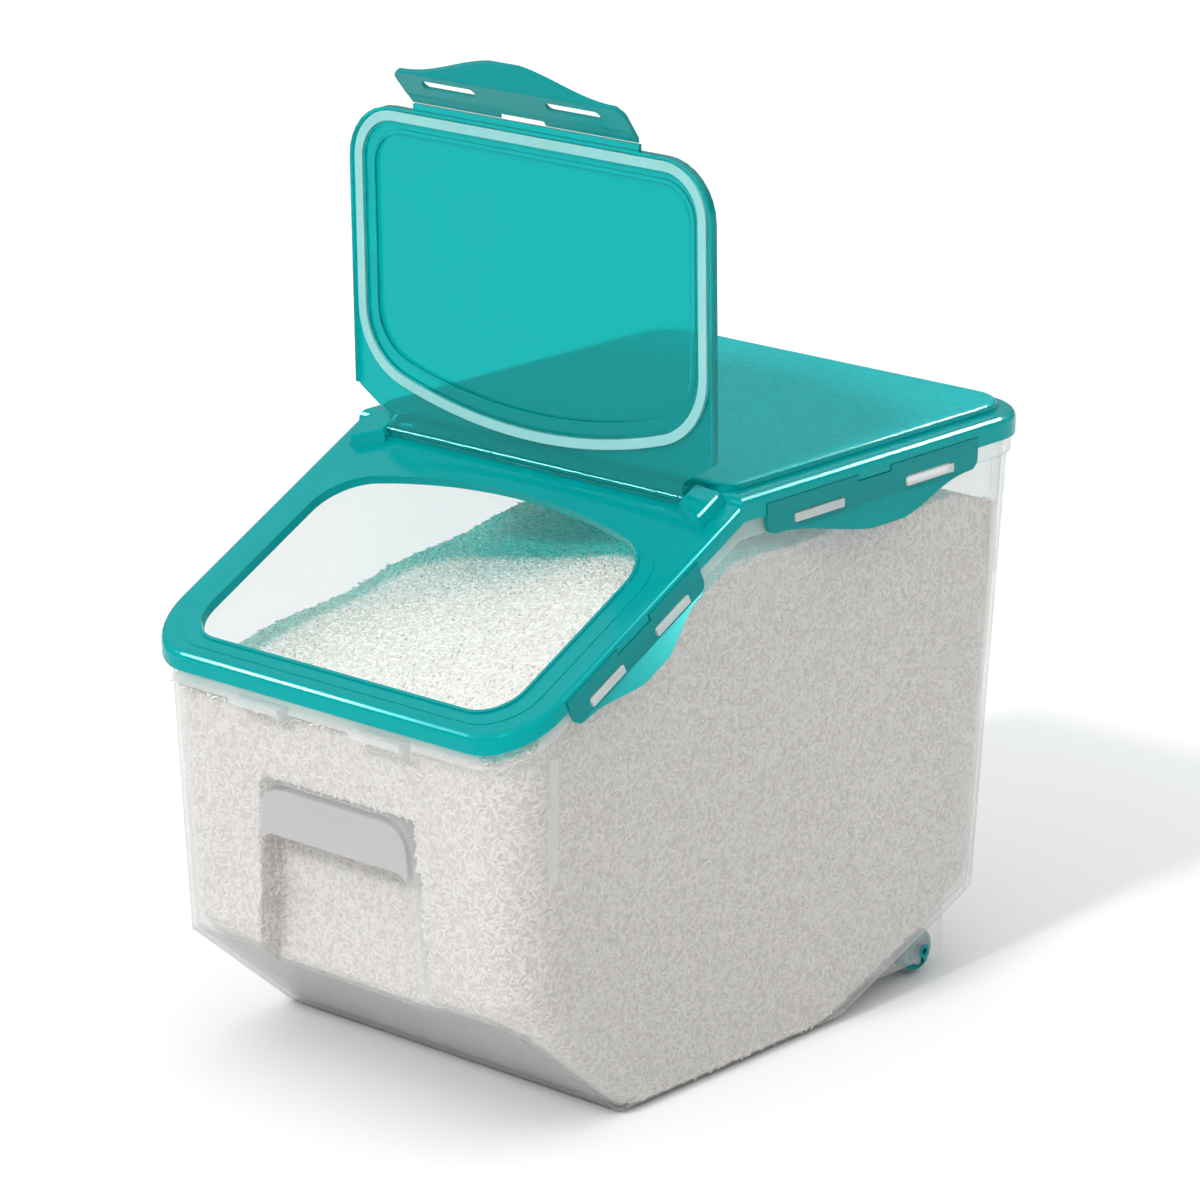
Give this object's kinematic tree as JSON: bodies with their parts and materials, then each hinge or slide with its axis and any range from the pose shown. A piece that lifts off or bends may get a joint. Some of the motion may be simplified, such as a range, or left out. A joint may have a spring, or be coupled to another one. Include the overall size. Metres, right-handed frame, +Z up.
{
  "type": "rice bin with flip lid",
  "caption": "Clear slope-fronted storage bin for rice with a clip-on teal lid frame, a flip-up door over a sloping opening, side latches, a front grip recess and tilt wheels.",
  "frame": {"origin": "on the flat base, on the middle plane, under the middle of the lid's skirt", "axes": "+X to the right across the bin, -Y out of its sloping front, +Z up"},
  "size_m": [0.2522, 0.3722, 0.4599],
  "materials": {
    "clear_bin": "clear, slightly milky",
    "teal_lid": "translucent, glossy",
    "teal_door": "translucent, glossy",
    "teal_latch": "translucent, glossy",
    "teal_wheel": "glossy",
    "silicone": "soft, matte"
  },
  "bodies": {
    "bin": {"bin_body": "clear_bin", "lid_frame": "teal_lid", "lid_gasket": "silicone"},
    "door": {"flip_door": "teal_door", "door_gasket": "silicone"},
    "front_flap": {"front_latch": "teal_latch"},
    "flap_front_left": {"latch_front_left": "teal_latch"},
    "flap_front_right": {"latch_front_right": "teal_latch"},
    "flap_rear_left": {"latch_rear_left": "teal_latch"},
    "flap_rear_right": {"latch_rear_right": "teal_latch"},
    "roller_left": {"wheel_left": "teal_wheel"},
    "roller_right": {"wheel_right": "teal_wheel"}
  },
  "joints": [
    {"name": "door_hinge", "type": "hinge", "parent": "bin", "child": "door", "pos_m": [0, -0.043, 0.27249], "axis": [1, 0, 0], "range_deg": [0, 116]},
    {"name": "front_latch_hinge", "type": "hinge", "parent": "door", "child": "front_flap", "pos_m": [0, -0.04946, 0.43083], "axis": [1, 0, 0], "range_deg": [-80, 12]},
    {"name": "latch_front_left_hinge", "type": "hinge", "parent": "bin", "child": "flap_front_left", "pos_m": [-0.1181, -0.10924, 0.23155], "axis": [0, 0.889, 0.4579], "range_deg": [0, 110]},
    {"name": "latch_front_right_hinge", "type": "hinge", "parent": "bin", "child": "flap_front_right", "pos_m": [0.1181, -0.10924, 0.23155], "axis": [0, -0.889, -0.4579], "range_deg": [0, 110]},
    {"name": "latch_rear_left_hinge", "type": "hinge", "parent": "bin", "child": "flap_rear_left", "pos_m": [-0.1181, 0.0579, 0.2703], "axis": [0, 1, 0], "range_deg": [0, 110]},
    {"name": "latch_rear_right_hinge", "type": "hinge", "parent": "bin", "child": "flap_rear_right", "pos_m": [0.1181, 0.0579, 0.2703], "axis": [0, -1, 0], "range_deg": [0, 110]},
    {"name": "wheel_left_spin", "type": "hinge", "parent": "bin", "child": "roller_left", "pos_m": [-0.0903, 0.1269, 0.0125], "axis": [1, 0, 0], "continuous": true},
    {"name": "wheel_right_spin", "type": "hinge", "parent": "bin", "child": "roller_right", "pos_m": [0.0903, 0.1269, 0.0125], "axis": [1, 0, 0], "continuous": true}
  ]
}
